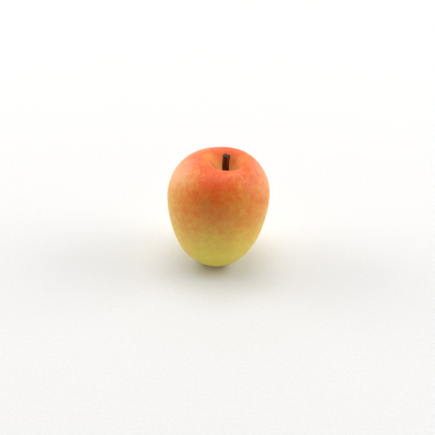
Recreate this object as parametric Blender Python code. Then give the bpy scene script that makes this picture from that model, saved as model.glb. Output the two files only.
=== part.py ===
"""A tall, conical apple as picked: the fruit, the stout stalk in its cavity and the dried calyx under it.

Sizes are in metres, +Z is up, and the apple stands on the five knobs round its calyx, on Z = 0.
"""

import math

import bmesh
import bpy
from mathutils import Vector

# Fruit: the turned form, before it is made lopsided
FRUIT_WIDTH = 0.0620
FRUIT_HEIGHT = 0.0707
WIDEST_HEIGHT = 0.0474
SHOULDER_POWER = 1.91
FLANK_POWER = 1.90
CROWN_RADIUS = 0.0129
FOOT_RADIUS = 0.0097

# Fruit: the stalk's cavity, the calyx's basin and the sockets at their ends
CAVITY_DEPTH = 0.0125
LIP_RADIUS = 0.0064
BASIN_DEPTH = 0.0055
BASIN_POWER = 2.0
SOCKET_GAP = 0.0003
STALK_SOCKET_DEPTH = 0.0020
CALYX_SOCKET_DEPTH = 0.0010

# Fruit: how it grew out of true
BELLY_SHIFT = 0.0004
CROWN_SHIFT = 0.0024
CAVITY_SHIFT = 0.0062
CAVITY_FORWARD = 0.0006
CROWN_FALL = 0.047
SHIFT_STARTS = 0.0284
SHIFT_ENDS = 0.0095

# Fruit: five ribs, which end in the knobs that it stands on
RIB_COUNT = 5
RIB_TURN = math.radians(-18.0)
RIB_RELIEF = 0.0002
CROWN_RELIEF = 0.0001
KNOB_RELIEF = 0.0009
KNOB_BREADTH = 2.0
KNOB_INNER_SPREAD = 0.0035
KNOB_OUTER_SPREAD = 0.0080
FOOT_FLAT = 0.00015

# Stalk
STALK_RADIUS = 0.0020
STALK_FOOT_RADIUS = 0.0025
STALK_HEAD_RADIUS = 0.0023
STALK_ABOVE_CROWN = 0.0037
STALK_HEAD_LENGTH = 0.0022
STALK_HEAD_SECTION = ((1.0, 0.5), (0.97, 0.8), (0.78, 1.0), (0.35, 1.0), (0.0, 1.0))
STALK_FLARE_SHARE = 0.35
STALK_BOW = (-0.0007, 0.0004)
STALK_BREAK_SHARE = 0.93
STALK_BREAK_RISE = 0.0003
STALK_NOTCH_DEPTH = 0.0007
STALK_NOTCH_PLACE = 0.35
STALK_NOTCH_WIDTH = 0.25

# Calyx
CALYX_RADIUS = 0.0029
CALYX_DISC_HEIGHT = 0.0016
CALYX_DISC_ROUND = 0.0005
SEPAL_COUNT = 5
SEPAL_LENGTH = 0.0046
SEPAL_WIDTH = 0.0030
SEPAL_TIP_WIDTH = 0.0004
SEPAL_THICKNESS = 0.0006
SEPAL_ROOT_RADIUS = 0.0021
SEPAL_WAIST = 0.0008
SEPAL_TAPER_POWER = 1.8
SEPAL_OUTWARD = 0.0024
SEPAL_OUTWARD_POWER = 2.5
SEPAL_CURL = 1.25
SEPAL_RIDGE = 0.35
STAMEN_COUNT = 10
STAMEN_LENGTH = 0.0026
STAMEN_SHORT_LENGTH = 0.0018
STAMEN_TIP_RADIUS = 0.0002
STAMEN_ROOT_RADIUS = 0.00035
STAMEN_RING_RADIUS = 0.0009
STAMEN_SUNK = 0.0004

# How finely each shape is divided
FRUIT_SIDES = 80
FLANK_STEPS = 17
SHOULDER_STEPS = 13
CAVITY_STEPS = 13
BASIN_STEPS = 8
STALK_SIDES = 16
STALK_STEPS = 9
CALYX_SIDES = 20
SEPAL_STEPS = 6
STAMEN_SIDES = 4
MERGE_DISTANCE = 0.00001
SHARP_ANGLE = math.radians(50.0)

WIDEST_RADIUS = FRUIT_WIDTH / 2
STALK_SOCKET_RADIUS = STALK_FOOT_RADIUS + SOCKET_GAP
CALYX_SOCKET_RADIUS = CALYX_RADIUS + SOCKET_GAP
CAVITY_FLOOR = FRUIT_HEIGHT - CAVITY_DEPTH
STALK_FOOT_HEIGHT = CAVITY_FLOOR - STALK_SOCKET_DEPTH + SOCKET_GAP
STALK_LENGTH = FRUIT_HEIGHT + STALK_ABOVE_CROWN - STALK_FOOT_HEIGHT
CALYX_TOP_HEIGHT = BASIN_DEPTH + CALYX_SOCKET_DEPTH - SOCKET_GAP


def smooth_step(value):
    """0 below 0, 1 above 1, and an even rise between them."""
    share = min(1.0, max(0.0, value))
    return share * share * (3.0 - 2.0 * share)


def quadrant(inner, outer, rise, power, steps):
    """(radius, rise) points of a quarter of a superellipse, from its widest point to its top."""
    points = []
    for step in range(steps + 1):
        angle = math.pi / 2 * step / steps
        across = max(0.0, math.cos(angle)) ** (2.0 / power)
        up = math.sin(angle) ** (2.0 / power)
        points.append((inner + (outer - inner) * across, rise * up))
    return points


def funnel(mouth_radius, end_radius, depth, power, steps):
    """(radius, depth) points of a funnel that starts level at its mouth and steepens inwards."""
    points = []
    for step in range(1, steps + 1):
        share = step / steps
        radius = mouth_radius + (end_radius - mouth_radius) * share
        points.append((radius, depth * share**power))
    return points


def cavity_wall(steps):
    """(radius, depth) points of the cavity, which rolls over to its lip and then falls at one slope."""
    roll = CROWN_RADIUS - LIP_RADIUS
    slope = CAVITY_DEPTH / (roll / 2 + LIP_RADIUS - STALK_SOCKET_RADIUS)
    points = []
    for step in range(1, steps + 1):
        radius = CROWN_RADIUS + (STALK_SOCKET_RADIUS - CROWN_RADIUS) * step / steps
        over = min(1.0, (CROWN_RADIUS - radius) / roll)
        fall = roll * (over**3 - over**4 / 2) + max(0.0, LIP_RADIUS - radius)
        points.append((radius, slope * fall))
    return points


def fruit_profile():
    """(radius, height) points of the turned fruit, from the calyx's socket round to the stalk's."""
    basin = funnel(FOOT_RADIUS, CALYX_SOCKET_RADIUS, BASIN_DEPTH, BASIN_POWER, BASIN_STEPS)
    flank = quadrant(FOOT_RADIUS, WIDEST_RADIUS, WIDEST_HEIGHT, FLANK_POWER, FLANK_STEPS)
    shoulder_rise = FRUIT_HEIGHT - WIDEST_HEIGHT
    shoulder = quadrant(CROWN_RADIUS, WIDEST_RADIUS, shoulder_rise, SHOULDER_POWER, SHOULDER_STEPS)

    profile = [(0.0, BASIN_DEPTH + CALYX_SOCKET_DEPTH)]
    profile.append((CALYX_SOCKET_RADIUS, BASIN_DEPTH + CALYX_SOCKET_DEPTH))
    profile += [(radius, depth) for radius, depth in reversed(basin)]
    profile += [(radius, WIDEST_HEIGHT - rise) for radius, rise in reversed(flank)]
    profile += [(radius, WIDEST_HEIGHT + rise) for radius, rise in shoulder[1:]]
    profile += [(radius, FRUIT_HEIGHT - depth) for radius, depth in cavity_wall(CAVITY_STEPS)]
    profile.append((STALK_SOCKET_RADIUS, CAVITY_FLOOR - STALK_SOCKET_DEPTH))
    profile.append((0.0, CAVITY_FLOOR - STALK_SOCKET_DEPTH))
    return profile


def turned(profile, sides):
    """A closed bmesh turned round Z from (radius, height) points that start and end on the axis."""
    shape = bmesh.new()
    points = [shape.verts.new((radius, 0.0, height)) for radius, height in profile]
    edges = [shape.edges.new(pair) for pair in zip(points, points[1:])]
    bmesh.ops.spin(
        shape,
        geom=points + edges,
        cent=(0.0, 0.0, 0.0),
        axis=(0.0, 0.0, 1.0),
        angle=2.0 * math.pi,
        steps=sides,
        use_merge=True,
    )
    bmesh.ops.remove_doubles(shape, verts=shape.verts, dist=MERGE_DISTANCE)
    bmesh.ops.recalc_face_normals(shape, faces=shape.faces)
    return shape


def knob_weight(radius):
    """How strongly the knobs shape the foot at this radius: 1 along the ring that it stands on."""
    spread = KNOB_INNER_SPREAD if radius < FOOT_RADIUS else KNOB_OUTER_SPREAD
    return math.exp(-(((radius - FOOT_RADIUS) / spread) ** 2))


def as_grown(point):
    """Where a point of the turned fruit lies on the real one, with its ribs, knobs and lean."""
    radius = math.hypot(point.x, point.y)
    angle = math.atan2(point.y, point.x)
    upper = point.z > WIDEST_HEIGHT
    inside = radius < (CROWN_RADIUS if upper else FOOT_RADIUS)
    rise = float(upper) if inside else point.z / FRUIT_HEIGHT
    rib = math.cos(RIB_COUNT * (angle - RIB_TURN))

    rib_weight = 0.0 if inside else math.sin(math.pi * rise)
    moved_radius = radius + RIB_RELIEF * rib * rib_weight
    height = point.z
    if upper:
        climb = 1.0 if inside else (point.z - WIDEST_HEIGHT) / (FRUIT_HEIGHT - WIDEST_HEIGHT)
        crown_weight = climb**2 * min(1.0, radius / CROWN_RADIUS) ** 2
        height -= CROWN_FALL * point.x * climb**2
        height += CROWN_RELIEF * rib * crown_weight
        to_cavity = smooth_step((SHIFT_STARTS - radius) / (SHIFT_STARTS - SHIFT_ENDS))
    else:
        valley = ((1.0 - rib) / 2.0) ** KNOB_BREADTH
        height += KNOB_RELIEF * valley * knob_weight(radius)
        to_cavity = 0.0

    shift = BELLY_SHIFT * math.sin(math.pi * rise) + CROWN_SHIFT * rise**2
    shift += (CAVITY_SHIFT - CROWN_SHIFT) * to_cavity
    across = moved_radius * math.cos(angle) + shift
    along = moved_radius * math.sin(angle) - CAVITY_FORWARD * to_cavity
    return Vector((across, along, height))


def pare_foot(shape):
    """Pares the five knobs flat where they stand."""
    cut = bmesh.ops.bisect_plane(
        shape,
        geom=shape.verts[:] + shape.edges[:] + shape.faces[:],
        dist=MERGE_DISTANCE,
        plane_co=(0.0, 0.0, FOOT_FLAT),
        plane_no=(0.0, 0.0, -1.0),
        clear_outer=True,
    )
    rims = [item for item in cut["geom_cut"] if isinstance(item, bmesh.types.BMEdge)]
    bmesh.ops.holes_fill(shape, edges=rims, sides=0)


def fruit_shape():
    """The fruit: turned, grown out of true and flat where it rests."""
    shape = turned(fruit_profile(), FRUIT_SIDES)
    for vert in shape.verts:
        vert.co = as_grown(vert.co)
    pare_foot(shape)
    return shape


def stalk_profile():
    """(radius, height) points of the stalk: flared at its foot, clubbed at its broken end."""
    shaft_length = STALK_LENGTH - STALK_HEAD_LENGTH
    profile = [(0.0, 0.0)]
    for step in range(STALK_STEPS + 1):
        share = step / STALK_STEPS
        flare = 1.0 - smooth_step(share / STALK_FLARE_SHARE)
        radius = STALK_RADIUS + (STALK_FOOT_RADIUS - STALK_RADIUS) * flare
        profile.append((radius, shaft_length * share))
    for across, along in STALK_HEAD_SECTION:
        profile.append((STALK_HEAD_RADIUS * across, shaft_length + STALK_HEAD_LENGTH * along))
    return profile


def stalk_shape():
    """The stalk: turned, bowed to the left, with a notch across its broken end."""
    shape = turned(stalk_profile(), STALK_SIDES)
    for vert in shape.verts:
        share = vert.co.z / STALK_LENGTH
        across = vert.co.x / STALK_HEAD_RADIUS
        broken = smooth_step((share - STALK_BREAK_SHARE) / (1.0 - STALK_BREAK_SHARE))
        notch = STALK_NOTCH_DEPTH * math.exp(-(((across - STALK_NOTCH_PLACE) / STALK_NOTCH_WIDTH) ** 2))
        vert.co.z -= broken * (STALK_BREAK_RISE * across + notch)
        bow = math.sin(math.pi * share)
        vert.co.x += STALK_BOW[0] * bow
        vert.co.y += STALK_BOW[1] * bow
        vert.co += Vector((CAVITY_SHIFT, -CAVITY_FORWARD, STALK_FOOT_HEIGHT))
    return shape


def sepal_shape(angle):
    """One dried sepal: a pointed blade, ridged along its middle, that hangs down and curls outwards."""
    shape = bmesh.new()
    rings = []
    half = SEPAL_THICKNESS / 2
    for step in range(SEPAL_STEPS + 1):
        share = step / SEPAL_STEPS
        width = SEPAL_WIDTH - (SEPAL_WIDTH - SEPAL_TIP_WIDTH) * share**SEPAL_TAPER_POWER
        half_width = width / 2
        out = SEPAL_ROOT_RADIUS - SEPAL_WAIST * math.sin(math.pi * share)
        out += SEPAL_OUTWARD * share**SEPAL_OUTWARD_POWER
        height = CALYX_TOP_HEIGHT - CALYX_DISC_HEIGHT / 2 - SEPAL_LENGTH * math.sin(SEPAL_CURL * share)
        ridge = SEPAL_RIDGE * half_width * (1.0 - share)
        section = ((half_width, -half), (0.0, ridge - half), (-half_width, -half))
        section += ((-half_width, half), (0.0, ridge + half), (half_width, half))
        ring = []
        for across, through in section:
            ring.append(shape.verts.new((out + through, across, height)))
        rings.append(ring)
    for lower, upper in zip(rings, rings[1:]):
        for side in range(len(lower)):
            after = (side + 1) % len(lower)
            shape.faces.new((lower[side], lower[after], upper[after], upper[side]))
    shape.faces.new(rings[0][::-1])
    shape.faces.new(rings[-1])
    bmesh.ops.recalc_face_normals(shape, faces=shape.faces)
    turn = Vector((math.cos(angle), math.sin(angle), 0.0))
    side_ways = Vector((-math.sin(angle), math.cos(angle), 0.0))
    for vert in shape.verts:
        vert.co = turn * vert.co.x + side_ways * vert.co.y + Vector((0.0, 0.0, vert.co.z))
    return shape


def stamen_shape(index):
    """One dried stamen: a slim cone that hangs from the calyx's disc, long and short by turns."""
    angle = 2.0 * math.pi * index / STAMEN_COUNT
    length = STAMEN_LENGTH if index % 2 else STAMEN_SHORT_LENGTH
    shape = bmesh.new()
    bmesh.ops.create_cone(
        shape,
        cap_ends=True,
        segments=STAMEN_SIDES,
        radius1=STAMEN_TIP_RADIUS,
        radius2=STAMEN_ROOT_RADIUS,
        depth=length,
    )
    middle = CALYX_TOP_HEIGHT - CALYX_DISC_HEIGHT + STAMEN_SUNK - length / 2
    place = Vector((math.cos(angle) * STAMEN_RING_RADIUS, math.sin(angle) * STAMEN_RING_RADIUS, middle))
    bmesh.ops.translate(shape, verts=shape.verts, vec=place)
    return shape


def calyx_disc_shape():
    """The button that the sepals and stamens grow from."""
    top = CALYX_TOP_HEIGHT
    bottom = top - CALYX_DISC_HEIGHT
    profile = [(0.0, bottom), (CALYX_RADIUS - CALYX_DISC_ROUND, bottom)]
    profile += [(CALYX_RADIUS, bottom + CALYX_DISC_ROUND), (CALYX_RADIUS, top), (0.0, top)]
    return turned(profile, CALYX_SIDES)


def material(name, colour, roughness):
    """A plain Principled material in a colour of the apple."""
    made = bpy.data.materials.new(name)
    made.use_nodes = True
    shader = made.node_tree.nodes["Principled BSDF"]
    shader.inputs["Base Color"].default_value = (*colour, 1.0)
    shader.inputs["Roughness"].default_value = roughness
    shader.inputs["Metallic"].default_value = 0.0
    return made


def new_object(name, shape, collection):
    """Turns a bmesh into a smooth-shaded object in a collection, and frees the bmesh."""
    mesh = bpy.data.meshes.new(name)
    shape.to_mesh(mesh)
    shape.free()
    mesh.shade_smooth()
    mesh.set_sharp_from_angle(angle=SHARP_ANGLE)
    made = bpy.data.objects.new(name, mesh)
    collection.objects.link(made)
    return made


def join_repeats(base, shapes):
    """Unites a node with its repeats in one applied Boolean, and removes the repeats' own objects."""
    repeats = bpy.data.collections.new(base.name + "_repeats")
    bpy.context.scene.collection.children.link(repeats)
    for index, shape in enumerate(shapes):
        new_object(f"{base.name}_repeat_{index}", shape, repeats)
    union = base.modifiers.new("Union", "BOOLEAN")
    union.operation = "UNION"
    union.operand_type = "COLLECTION"
    union.collection = repeats
    union.solver = "EXACT"
    bpy.context.view_layer.update()
    graph = bpy.context.evaluated_depsgraph_get()
    joined = bpy.data.meshes.new_from_object(base.evaluated_get(graph), depsgraph=graph)
    base.modifiers.clear()
    base.data = joined
    for repeat in list(repeats.objects):
        bpy.data.objects.remove(repeat)
    bpy.data.collections.remove(repeats)


def clear_scene():
    """Removes what the start-up scene holds."""
    for old in list(bpy.data.objects):
        bpy.data.objects.remove(old)


def main():
    """Builds the three pieces and centres the apple over the origin."""
    clear_scene()
    scene = bpy.context.scene.collection
    fruit = new_object("fruit", fruit_shape(), scene)
    fruit.data.materials.append(material("fruit_skin", (0.80, 0.27, 0.09), 0.5))

    stalk = new_object("stalk", stalk_shape(), scene)
    stalk.data.materials.append(material("stalk_bark", (0.055, 0.020, 0.010), 0.7))

    calyx = new_object("calyx", calyx_disc_shape(), scene)
    sepals = [sepal_shape(RIB_TURN + math.pi / SEPAL_COUNT + 2.0 * math.pi * index / SEPAL_COUNT)
              for index in range(SEPAL_COUNT)]
    stamens = [stamen_shape(index) for index in range(STAMEN_COUNT)]
    join_repeats(calyx, sepals + stamens)
    calyx.data.materials.clear()
    calyx.data.materials.append(material("calyx_dry", (0.10, 0.055, 0.028), 0.85))

    across = [vert.co.x for vert in fruit.data.vertices]
    along = [vert.co.y for vert in fruit.data.vertices]
    apple = bpy.data.objects.new("apple", None)
    scene.objects.link(apple)
    apple.location = (-(min(across) + max(across)) / 2, -(min(along) + max(along)) / 2, -FOOT_FLAT)
    for piece in (fruit, stalk, calyx):
        piece.parent = apple


main()
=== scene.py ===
"""The looks of a tall, conical apple: its mottled skin, its stout stalk and its dried calyx.

Sizes are in metres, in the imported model's frame: +Z is up and the apple stands on Z = 0.
"""

import logging
import math
import random
from dataclasses import dataclass, field
from enum import Enum
from typing import NamedTuple

import bmesh
import bpy
from mathutils import Matrix, Vector, noise
from mathutils.bvhtree import BVHTree


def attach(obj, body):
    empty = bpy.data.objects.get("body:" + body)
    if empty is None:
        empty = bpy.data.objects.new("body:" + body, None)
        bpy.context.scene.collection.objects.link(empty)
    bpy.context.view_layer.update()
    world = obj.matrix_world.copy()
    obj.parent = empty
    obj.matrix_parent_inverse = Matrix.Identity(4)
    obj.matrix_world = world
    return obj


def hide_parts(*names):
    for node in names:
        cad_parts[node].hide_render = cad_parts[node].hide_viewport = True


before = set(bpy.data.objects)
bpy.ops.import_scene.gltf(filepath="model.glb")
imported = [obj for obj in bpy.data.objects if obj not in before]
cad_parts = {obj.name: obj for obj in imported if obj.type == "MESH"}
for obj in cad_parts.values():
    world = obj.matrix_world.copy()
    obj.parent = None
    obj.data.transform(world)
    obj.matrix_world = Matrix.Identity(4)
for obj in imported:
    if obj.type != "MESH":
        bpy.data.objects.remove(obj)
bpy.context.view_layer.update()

log = logging.getLogger("apple")

BODY = "root"
MERGE_DISTANCE = 0.000001
UP = Vector((0.0, 0.0, 1.0))

Colour = tuple[float, float, float]
Socket = bpy.types.NodeSocket


class Reach(NamedTuple):
    """A range: where something starts, and where it ends or is full."""

    start: float
    full: float


class Grain(NamedTuple):
    """A noise pattern: its features' size, its finer layers and their strength, and how much it swirls."""

    size: float
    detail: float = 2.0
    roughness: float = 0.5
    distortion: float = 0.0


class Dots(NamedTuple):
    """Small round dots, at most one to a cell, which fade over an edge given in cells."""

    cell: float
    edge: Reach
    kept: Reach
    share: float


class Furrows(NamedTuple):
    """Uneven furrows round an axis, with about six waves of noise to each of their turns."""

    turns: float
    pitch: float
    seed: float
    depth: float

    def at(self, angle: float, along: float) -> float:
        """How far the surface is raised at an angle round the axis and a place along it."""
        across = math.cos(angle) * self.turns + self.seed, math.sin(angle) * self.turns
        return self.depth * noise.noise(Vector((*across, along * self.pitch)))


class Slot(Enum):
    """The record's material slots."""

    SKIN = "skin"
    BARK = "bark"
    DRY_CALYX = "dry_calyx"


class SkinMark(Enum):
    """What the fruit's own attributes tell its skin."""

    CAVITY = "in_cavity"
    BASIN = "in_basin"


class StalkMark(Enum):
    """What the stalk's own attribute tells its bark."""

    BROKEN = "broken_end"


def smooth_step(value: float) -> float:
    """A curve that rises evenly from 0 at 0 to 1 at 1."""
    share = min(1.0, max(0.0, value))
    return share * share * (3.0 - 2.0 * share)


def way(azimuth: float, elevation: float = 0.0) -> Vector:
    """The unit vector towards an azimuth, from +X, and an elevation, in radians."""
    level = math.cos(elevation)
    return Vector((math.cos(azimuth) * level, math.sin(azimuth) * level, math.sin(elevation)))


def linked(name: str, data: bpy.types.ID) -> bpy.types.Object:
    """Makes an object and puts it into the scene.

    Args:
        name: the object's name.
        data: the mesh, camera or light that it holds.

    Returns:
        The object.
    """
    made = bpy.data.objects.new(name, data)
    bpy.context.scene.collection.objects.link(made)
    return made


def turned(profile: list[tuple[float, float]], sides: int) -> bmesh.types.BMesh:
    """Turns a profile round Z into one closed shape.

    Args:
        profile: (radius, height) points, the first and the last of them on the axis.
        sides: how many steps the turn has.

    Returns:
        A new bmesh with its faces outwards.
    """
    shape = bmesh.new()
    points = [shape.verts.new((radius, 0.0, height)) for radius, height in profile]
    edges = [shape.edges.new(pair) for pair in zip(points, points[1:])]
    bmesh.ops.spin(
        shape,
        geom=points + edges,
        cent=(0.0, 0.0, 0.0),
        axis=UP,
        angle=2.0 * math.pi,
        steps=sides,
        use_merge=True,
    )
    bmesh.ops.remove_doubles(shape, verts=shape.verts, dist=MERGE_DISTANCE)
    bmesh.ops.recalc_face_normals(shape, faces=shape.faces)
    return shape


def new_piece(name: str, shape: bmesh.types.BMesh, nodes: tuple[str, ...]) -> bpy.types.Object:
    """Makes a smooth-shaded piece of the apple from a bmesh, and frees the bmesh.

    Args:
        name: the piece's name.
        shape: its mesh, in place.
        nodes: the CAD nodes that it stands for.

    Returns:
        The object, which rides on the apple's one body.
    """
    mesh = bpy.data.meshes.new(name)
    shape.to_mesh(mesh)
    shape.free()
    mesh.shade_smooth()
    piece = linked(name, mesh)
    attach(piece, BODY)
    if nodes:
        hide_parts(*nodes)
    log.info("%s: %d faces", name, len(mesh.polygons))
    return piece


class Sheet:
    """A material's node tree, with a short method for each kind of node that the finishes use."""

    def __init__(self, name: str) -> None:
        """Starts a material with one Principled shader.

        Args:
            name: the material's name.
        """
        self.material = bpy.data.materials.new(name)
        self.material.use_nodes = True
        self.nodes = self.material.node_tree.nodes
        self.links = self.material.node_tree.links
        self.shader = self.nodes["Principled BSDF"]
        self.place = self.nodes.new("ShaderNodeTexCoord").outputs["Object"]

    def put(self, socket: Socket, value: object) -> None:
        """Links a socket to another, or sets its value.

        Args:
            socket: the input to fill.
            value: a socket to link from, or a plain value.
        """
        if isinstance(value, bpy.types.NodeSocket):
            self.links.new(value, socket)
        elif isinstance(value, tuple) and socket.type == "RGBA":
            socket.default_value = (*value[:3], 1.0)
        else:
            socket.default_value = value

    def surface(self, **values: object) -> None:
        """Fills the shader's inputs, named as in Blender with _ for a space."""
        for name, value in values.items():
            self.put(self.shader.inputs[name.replace("_", " ")], value)

    def sum(self, operation: str, *values: object) -> Socket:
        """One Math node.

        Args:
            operation: Blender's name for the operation.
            values: its inputs, sockets or numbers.

        Returns:
            The result's socket.
        """
        node = self.nodes.new("ShaderNodeMath")
        node.operation = operation
        for socket, value in zip(node.inputs, values):
            self.put(socket, value)
        return node.outputs[0]

    def split(self, vector: Socket) -> tuple[Socket, Socket, Socket]:
        """Takes a vector apart.

        Args:
            vector: the vector's socket.

        Returns:
            The sockets of its X, Y and Z.
        """
        node = self.nodes.new("ShaderNodeSeparateXYZ")
        self.put(node.inputs[0], vector)
        return node.outputs[0], node.outputs[1], node.outputs[2]

    def scaled(self, scale: tuple[float, float, float]) -> Socket:
        """The Object coordinates, scaled along each axis.

        Args:
            scale: the factors, of which one below 1 stretches a pattern and one above 1 squeezes it.

        Returns:
            The scaled coordinates' socket.
        """
        node = self.nodes.new("ShaderNodeMapping")
        self.put(node.inputs["Vector"], self.place)
        node.inputs["Scale"].default_value = scale
        return node.outputs[0]

    def vector_sum(self, operation: str, *values: object) -> bpy.types.Node:
        """One Vector Math node.

        Args:
            operation: Blender's name for the operation.
            values: its inputs, sockets or vectors.

        Returns:
            The node, whose result is a vector or a number.
        """
        node = self.nodes.new("ShaderNodeVectorMath")
        node.operation = operation
        for socket, value in zip(node.inputs, values):
            self.put(socket, value)
        return node

    def distance(self, point: Vector) -> Socket:
        """How far the surface is from a point of the frame."""
        return self.vector_sum("DISTANCE", self.place, point).outputs["Value"]

    def around(self) -> Socket:
        """The level unit vector from the upright axis towards the surface."""
        level = self.vector_sum("MULTIPLY", self.place, (1.0, 1.0, 0.0))
        return self.vector_sum("NORMALIZE", level.outputs[0]).outputs[0]

    def facing(self, azimuth: float) -> Socket:
        """How far round the upright axis the surface is towards an azimuth, from -1 to 1."""
        return self.vector_sum("DOT_PRODUCT", self.around(), way(azimuth)).outputs["Value"]

    def streaked(self, girth: float, stretch: float) -> Socket:
        """Coordinates that stretch a pattern from crown to foot, and keep its own width at one girth."""
        along = self.vector_sum("MULTIPLY", self.place, (1.0 / stretch,) * 3).outputs[0]
        return self.vector_sum("MULTIPLY_ADD", self.around(), (girth, girth, 0.0), along).outputs[0]

    def grey(self, value: Socket) -> Socket:
        """A number as a colour without hue.

        Args:
            value: the number's socket.

        Returns:
            The colour's socket.
        """
        node = self.nodes.new("ShaderNodeCombineColor")
        for socket in node.inputs[:3]:
            self.put(socket, value)
        return node.outputs[0]

    def attribute(self, name: str) -> Socket:
        """A number that the piece's mesh carries at each of its points.

        Args:
            name: the attribute's name.

        Returns:
            The number's socket.
        """
        node = self.nodes.new("ShaderNodeAttribute")
        node.attribute_name = name
        return node.outputs["Fac"]

    def rise(
        self, value: Socket, low: object, high: object, bottom: object = 0.0, top: object = 1.0
    ) -> Socket:
        """A smooth rise of a value.

        Args:
            value: what is read.
            low: where the rise starts.
            high: where it ends.
            bottom: the result below the rise.
            top: the result above it.

        Returns:
            The result's socket.
        """
        node = self.nodes.new("ShaderNodeMapRange")
        node.interpolation_type = "SMOOTHSTEP"
        for index, number in enumerate((value, low, high, bottom, top)):
            self.put(node.inputs[index], number)
        return node.outputs[0]

    def grain(self, vector: Socket, grain: Grain) -> Socket:
        """A noise pattern.

        Args:
            vector: where it is read.
            grain: what it is like.

        Returns:
            A socket from 0 to 1, with most values near 0.5.
        """
        node = self.nodes.new("ShaderNodeTexNoise")
        self.put(node.inputs["Vector"], vector)
        node.inputs["Scale"].default_value = 1.0 / grain.size
        node.inputs["Detail"].default_value = grain.detail
        node.inputs["Roughness"].default_value = grain.roughness
        node.inputs["Distortion"].default_value = grain.distortion
        return node.outputs[0]

    def sway(self, pattern: Socket, gain: object, over: object = 0.0) -> Socket:
        """A value that a pattern from 0 to 1 moves up and down, over a range of the gain."""
        return self.sum("MULTIPLY_ADD", self.sum("SUBTRACT", pattern, 0.5), gain, over)

    def dots(self, dots: Dots) -> Socket:
        """Small round dots, strewn over the Object coordinates.

        Args:
            dots: their size, their edge, and which of the cells keep one.

        Returns:
            A socket from 0 to the dots' share.
        """
        node = self.nodes.new("ShaderNodeTexVoronoi")
        self.put(node.inputs["Vector"], self.place)
        node.inputs["Scale"].default_value = 1.0 / dots.cell
        own = self.split(node.outputs["Color"])[0]
        disc = self.rise(node.outputs["Distance"], *dots.edge, 1.0, 0.0)
        return self.sum("MULTIPLY", disc, self.rise(own, *dots.kept, 0.0, dots.share))

    def blend(self, share: object, first: object, second: object, kind: str = "MIX") -> Socket:
        """Mixes two colours.

        Args:
            share: how much of the second colour shows.
            first: the colour at share 0.
            second: the colour at share 1.
            kind: Blender's name for the kind of mix.

        Returns:
            The mixed colour's socket.
        """
        node = self.nodes.new("ShaderNodeMix")
        node.data_type = "RGBA"
        node.blend_type = kind
        self.put(node.inputs[0], share)
        self.put(node.inputs[6], first)
        self.put(node.inputs[7], second)
        return node.outputs[2]

    def relief(self, height: Socket, depth: float, strength: float, over: Socket | None = None) -> Socket:
        """Fine relief, as a bump.

        Args:
            height: the relief's height, from 0 to 1.
            depth: how deep it is, in metres.
            strength: how much of it shows.
            over: another relief that this one lies on.

        Returns:
            The normal's socket.
        """
        node = self.nodes.new("ShaderNodeBump")
        node.inputs["Strength"].default_value = strength
        node.inputs["Distance"].default_value = depth
        self.put(node.inputs["Height"], height)
        if over is not None:
            self.put(node.inputs["Normal"], over)
        return node.outputs[0]


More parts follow.
